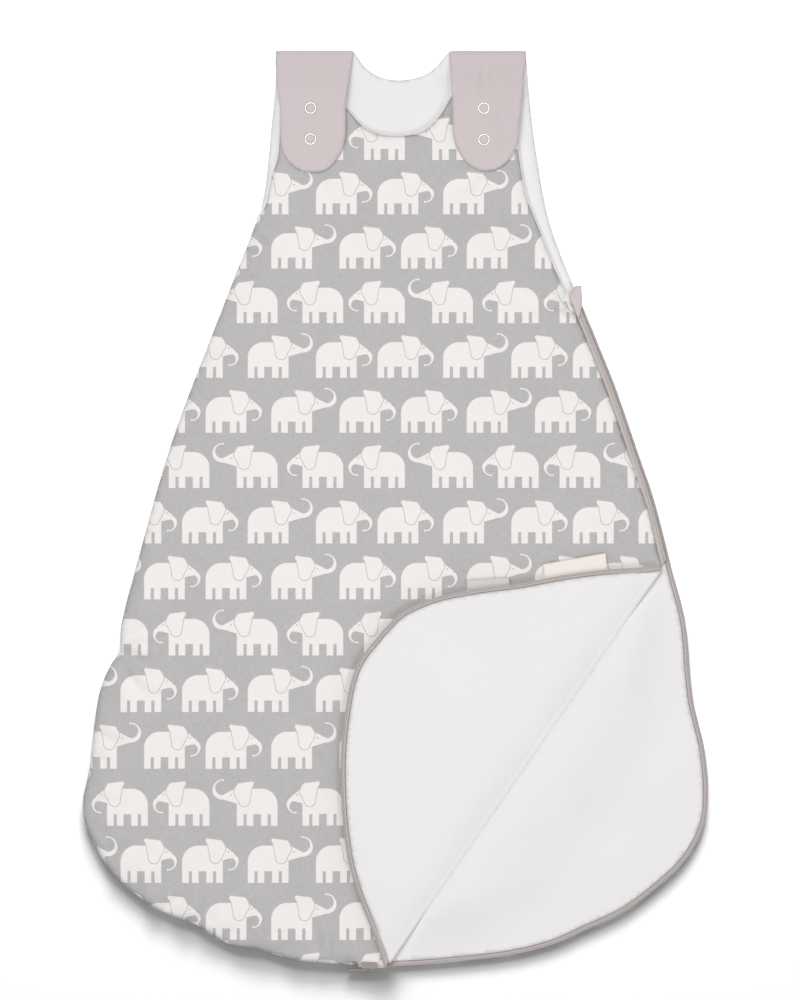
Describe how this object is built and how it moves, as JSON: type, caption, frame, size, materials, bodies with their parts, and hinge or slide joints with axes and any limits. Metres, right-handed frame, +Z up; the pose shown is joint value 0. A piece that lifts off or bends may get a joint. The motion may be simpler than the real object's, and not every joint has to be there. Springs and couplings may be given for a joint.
{
  "type": "baby sleeping bag",
  "caption": "Padded bell-shaped baby sleeping bag lying flat, with snap shoulder straps and a side-and-hem zip whose lower corner is turned back.",
  "frame": {"origin": "middle of the underside of the bag's bounding box, on the surface it lies on", "axes": "+Z up through the thickness, +Y from the hem to the shoulders, +X towards the zipped side"},
  "size_m": [0.476, 0.7, 0.0213],
  "materials": {
    "print_cotton": "grey woven cotton with rows of off-white elephants",
    "lining": "white soft jersey",
    "wadding": "white fibre filling",
    "trim_cotton": "taupe fine woven cotton",
    "zip_tape": "taupe woven tape",
    "zip_teeth": "satin polyester coil",
    "metal": "nickel-plated, satin",
    "label": "cream woven tape, blank"
  },
  "bodies": {
    "root": {"back_outer": "print_cotton", "back_padding": "wadding", "back_lining": "lining", "front_outer": "print_cotton", "front_padding": "wadding", "front_lining": "lining", "zip_tape_back": "zip_tape", "zip_tape_side": "zip_tape", "zip_tape_end": "zip_tape", "zip_teeth_back": "zip_teeth", "zip_teeth_side": "zip_teeth", "zip_teeth_end": "zip_teeth", "zip_bottom_stop": "metal", "zip_top_stop_back": "metal", "zip_top_stop_side": "metal", "zip_garage": "trim_cotton", "snap_left_1_stud": "metal", "snap_left_1_back_ring": "metal", "snap_left_2_stud": "metal", "snap_left_2_back_ring": "metal", "snap_right_1_stud": "metal", "snap_right_1_back_ring": "metal", "snap_right_2_stud": "metal", "snap_right_2_back_ring": "metal"},
    "flap": {"flap_outer": "print_cotton", "flap_padding": "wadding", "flap_lining": "lining", "zip_tape_flap": "zip_tape", "zip_teeth_flap": "zip_teeth", "woven_label": "label", "care_label": "label"},
    "strap_left": {"strap_left_outer": "trim_cotton", "strap_left_lining": "trim_cotton", "snap_left_1_ring": "metal", "snap_left_1_socket": "metal", "snap_left_2_ring": "metal", "snap_left_2_socket": "metal"},
    "strap_right": {"strap_right_outer": "trim_cotton", "strap_right_lining": "trim_cotton", "snap_right_1_ring": "metal", "snap_right_1_socket": "metal", "snap_right_2_ring": "metal", "snap_right_2_socket": "metal"},
    "slider": {"zip_slider": "metal"},
    "pull": {"zip_pull": "metal"}
  },
  "joints": [
    {"name": "flap_fold", "type": "hinge", "parent": "root", "child": "flap", "pos_m": [-0.0082, -0.347, 0.0144], "axis": [0.5684, 0.8227, 0], "range_deg": [0, 179.9]},
    {"name": "strap_left_fold", "type": "hinge", "parent": "root", "child": "strap_left", "pos_m": [-0.0614, 0.35, 0.01085], "axis": [-1, 0, 0], "range_deg": [0, 179.9]},
    {"name": "strap_right_fold", "type": "hinge", "parent": "root", "child": "strap_right", "pos_m": [0.0698, 0.35, 0.01085], "axis": [-1, 0, 0], "range_deg": [0, 179.9]},
    {"name": "zip_slide", "type": "slide", "parent": "root", "child": "slider", "axis": [1, 0, 0], "range_m": [0, 0.04]},
    {"name": "pull_swing", "type": "hinge", "parent": "slider", "child": "pull", "pos_m": [-0.0175, -0.34915, 0.007], "axis": [0, 0, 1], "range_deg": [0, 180]}
  ]
}
